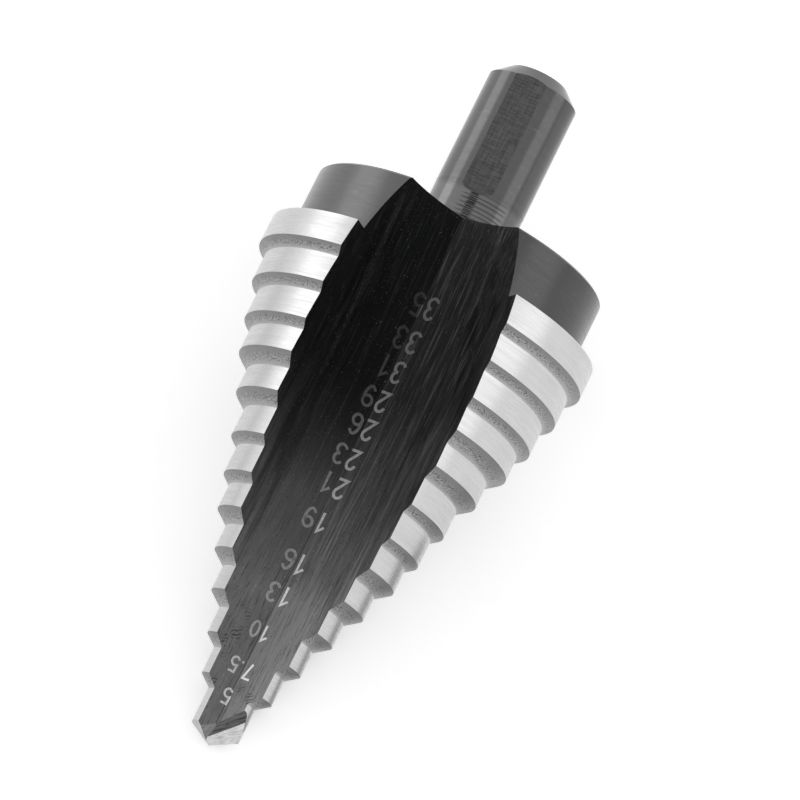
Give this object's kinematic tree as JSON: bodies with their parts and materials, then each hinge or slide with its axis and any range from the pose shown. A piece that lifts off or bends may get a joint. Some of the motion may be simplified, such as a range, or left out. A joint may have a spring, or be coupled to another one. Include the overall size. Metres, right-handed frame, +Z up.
{
  "type": "step drill",
  "caption": "Step drill with a flatted shank, a collar, stepped cutting diameters, straight flutes and a split point.",
  "frame": {"origin": "centre of the bounding box in plan, on the surface the drill lies on", "axes": "+X towards the point, +Z up; the drill lies on its lower flute, with the shank towards -X and raised 16.6 degrees"},
  "size_m": [0.072, 0.035, 0.0308],
  "materials": {
    "tool_steel": "ground and turned tool steel, bright on the steps, darker on the collar and shank, with blackened flutes"
  },
  "bodies": {
    "root": {"step_drill": "tool_steel"}
  },
  "joints": []
}
